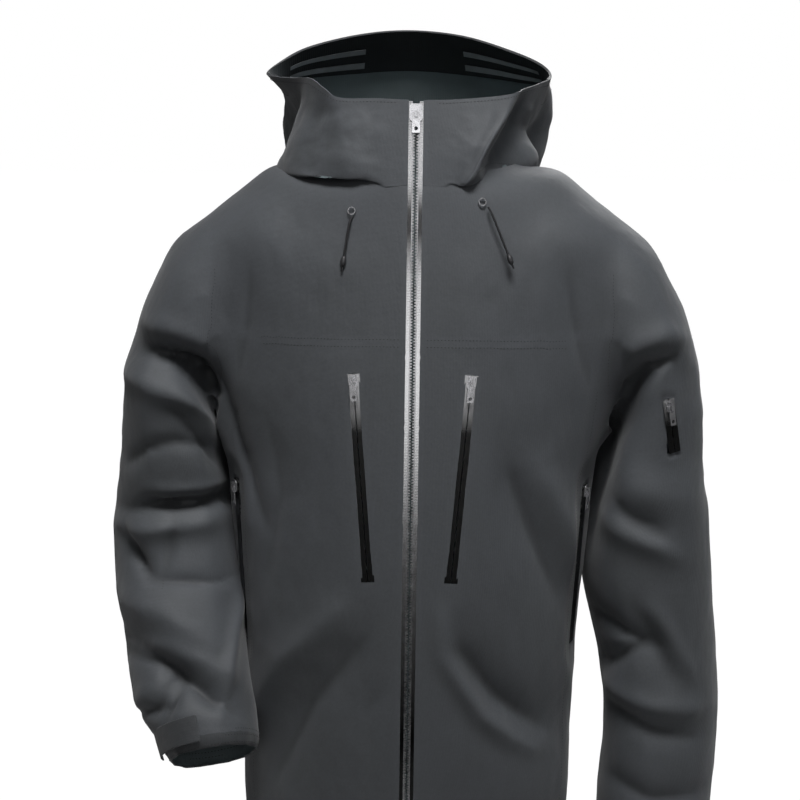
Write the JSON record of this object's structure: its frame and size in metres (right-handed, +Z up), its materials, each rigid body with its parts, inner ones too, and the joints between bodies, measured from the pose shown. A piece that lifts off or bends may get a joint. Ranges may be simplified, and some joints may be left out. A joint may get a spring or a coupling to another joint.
{
  "type": "hardshell jacket",
  "caption": "Waterproof hardshell jacket with dropped hood, closed front zip, pocket zips, underarm zips and cuff tabs.",
  "frame": {"origin": "middle of the hem opening, at the hem's edge", "axes": "+Z up, the front faces -Y, the wearer's left arm is on +X"},
  "size_m": [0.6237, 0.359, 0.856],
  "materials": {
    "shell_fabric": "matte laminate",
    "brim_fabric": "matte laminate",
    "backer_fabric": "fine knit backer",
    "cuff_fabric": "matte",
    "laminated_tape": "satin film",
    "zip_plastic": "satin",
    "painted_metal": "satin",
    "cord": "braided",
    "lock_plastic": "moulded"
  },
  "bodies": {
    "shell": {"back_panel": "shell_fabric", "back_yoke": "shell_fabric", "chest_pocket_left": "backer_fabric", "chest_pocket_right": "backer_fabric", "chest_zip_tapes": "laminated_tape", "collar_back": "shell_fabric", "collar_left": "shell_fabric", "collar_right": "shell_fabric", "cord_eyelets": "painted_metal", "cuff_band_left": "cuff_fabric", "cuff_band_right": "cuff_fabric", "forearm_left": "shell_fabric", "forearm_right": "shell_fabric", "front_panel_left": "shell_fabric", "front_panel_right": "shell_fabric", "front_yoke_left": "shell_fabric", "front_yoke_right": "shell_fabric", "hang_loop": "cord", "hem_drawcord": "cord", "hem_lock_left": "lock_plastic", "hem_lock_right": "lock_plastic", "main_zip_box": "zip_plastic", "main_zip_tape_left": "laminated_tape", "main_zip_tape_right": "laminated_tape", "main_zip_teeth_left": "zip_plastic", "main_zip_teeth_right": "zip_plastic", "pit_zip_tapes": "laminated_tape", "side_panel_left": "shell_fabric", "side_panel_right": "shell_fabric", "sleeve_zip_tape": "laminated_tape", "upper_sleeve_left": "shell_fabric", "upper_sleeve_right": "shell_fabric", "wind_flap": "backer_fabric", "zip_coils": "zip_plastic"},
    "hood": {"hood_center": "shell_fabric", "hood_side_left": "shell_fabric", "hood_side_right": "shell_fabric", "hood_brim": "brim_fabric", "brim_tape": "laminated_tape", "hood_base": "backer_fabric", "hood_lock": "lock_plastic"},
    "main_slider": {"main_slider": "painted_metal"},
    "main_pull": {"main_pull": "painted_metal"},
    "chest_right_slider": {"chest_right_slider": "painted_metal"},
    "chest_right_pull": {"chest_right_pull": "painted_metal"},
    "chest_left_slider": {"chest_left_slider": "painted_metal"},
    "chest_left_pull": {"chest_left_pull": "painted_metal"},
    "pit_right_slider": {"pit_right_slider": "painted_metal"},
    "pit_right_pull": {"pit_right_pull": "painted_metal"},
    "pit_left_slider": {"pit_left_slider": "painted_metal"},
    "pit_left_pull": {"pit_left_pull": "painted_metal"},
    "sleeve_slider": {"sleeve_slider": "painted_metal"},
    "sleeve_pull": {"sleeve_pull": "painted_metal"},
    "cuff_tab_right": {"cuff_tab_right": "cuff_fabric"},
    "hood_cord_right": {"hood_cord_right": "cord"},
    "hem_button_right": {"hem_button_right": "lock_plastic"},
    "cuff_tab_left": {"cuff_tab_left": "cuff_fabric"},
    "hood_cord_left": {"hood_cord_left": "cord"},
    "hem_button_left": {"hem_button_left": "lock_plastic"},
    "hood_button": {"hood_button": "lock_plastic"}
  },
  "joints": [
    {"name": "hood_raise", "type": "hinge", "parent": "shell", "child": "hood", "pos_m": [0, 0.04, 0.745], "axis": [1, 0, 0], "range_deg": [0, 60]},
    {"name": "main_zip", "type": "hinge", "parent": "shell", "child": "main_slider", "pos_m": [0, 2.25, 0.2], "axis": [1, 0, 0], "range_deg": [0, 17.56]},
    {"name": "main_pull_flip", "type": "hinge", "parent": "main_slider", "child": "main_pull", "pos_m": [0, -0.08517, 0.76882], "axis": [-1, 0, 0], "range_deg": [0, 170]},
    {"name": "chest_right_zip", "type": "slide", "parent": "shell", "child": "chest_right_slider", "axis": [0.0843, -0.0957, -0.9918], "range_m": [0, 0.18765]},
    {"name": "chest_right_pull_flip", "type": "hinge", "parent": "chest_right_slider", "child": "chest_right_pull", "pos_m": [-0.05696, -0.12812, 0.51431], "axis": [-0.9808, 0.1677, -0.0995], "range_deg": [0, 160]},
    {"name": "chest_left_zip", "type": "slide", "parent": "shell", "child": "chest_left_slider", "axis": [-0.0843, -0.0957, -0.9918], "range_m": [0, 0.18765]},
    {"name": "chest_left_pull_flip", "type": "hinge", "parent": "chest_left_slider", "child": "chest_left_pull", "pos_m": [0.05696, -0.12812, 0.51431], "axis": [-0.9808, -0.1677, 0.0995], "range_deg": [0, 160]},
    {"name": "pit_right_zip", "type": "slide", "parent": "shell", "child": "pit_right_slider", "axis": [0.0558, 0.0361, -0.9978], "range_m": [0, 0.12237]},
    {"name": "pit_right_pull_flip", "type": "hinge", "parent": "pit_right_slider", "child": "pit_right_pull", "pos_m": [-0.17789, -0.05688, 0.39481], "axis": [-0.3604, 0.9327, 0.0135], "range_deg": [0, 160]},
    {"name": "pit_left_zip", "type": "slide", "parent": "shell", "child": "pit_left_slider", "axis": [-0.0558, 0.0361, -0.9978], "range_m": [0, 0.12237]},
    {"name": "pit_left_pull_flip", "type": "hinge", "parent": "pit_left_slider", "child": "pit_left_pull", "pos_m": [0.17789, -0.05688, 0.39481], "axis": [-0.3604, -0.9327, -0.0135], "range_deg": [0, 160]},
    {"name": "sleeve_zip", "type": "slide", "parent": "shell", "child": "sleeve_slider", "axis": [0.1638, 0.0857, -0.9828], "range_m": [0, 0.04095]},
    {"name": "sleeve_pull_flip", "type": "hinge", "parent": "sleeve_slider", "child": "sleeve_pull", "pos_m": [0.25555, -0.07451, 0.48511], "axis": [-0.881, -0.4356, -0.1848], "range_deg": [0, 160]},
    {"name": "cuff_tab_right_peel", "type": "hinge", "parent": "shell", "child": "cuff_tab_right", "pos_m": [-0.24689, -0.10227, 0.13474], "axis": [0.3225, -0.4956, -0.8065], "range_deg": [0, 80]},
    {"name": "hood_cord_right_swing", "type": "hinge", "parent": "shell", "child": "hood_cord_right", "pos_m": [-0.06066, -0.09834, 0.67483], "axis": [-0.9746, 0.2152, 0.0621], "range_deg": [0, 35]},
    {"name": "hem_button_right_press", "type": "slide", "parent": "shell", "child": "hem_button_right", "axis": [0, 0.0737, -0.9973], "range_m": [0, 0.003]},
    {"name": "cuff_tab_left_peel", "type": "hinge", "parent": "shell", "child": "cuff_tab_left", "pos_m": [0.31758, -0.003, 0.032], "axis": [0.0267, 0, 0.9996], "range_deg": [0, 80]},
    {"name": "hood_cord_left_swing", "type": "hinge", "parent": "shell", "child": "hood_cord_left", "pos_m": [0.06491, -0.0943, 0.68498], "axis": [-0.8623, -0.3625, -0.3537], "range_deg": [0, 35]},
    {"name": "hem_button_left_press", "type": "slide", "parent": "shell", "child": "hem_button_left", "axis": [0, 0.0737, -0.9973], "range_m": [0, 0.003]},
    {"name": "hood_button_press", "type": "slide", "parent": "hood", "child": "hood_button", "axis": [0, 0.4067, -0.9135], "range_m": [0, 0.003]}
  ]
}
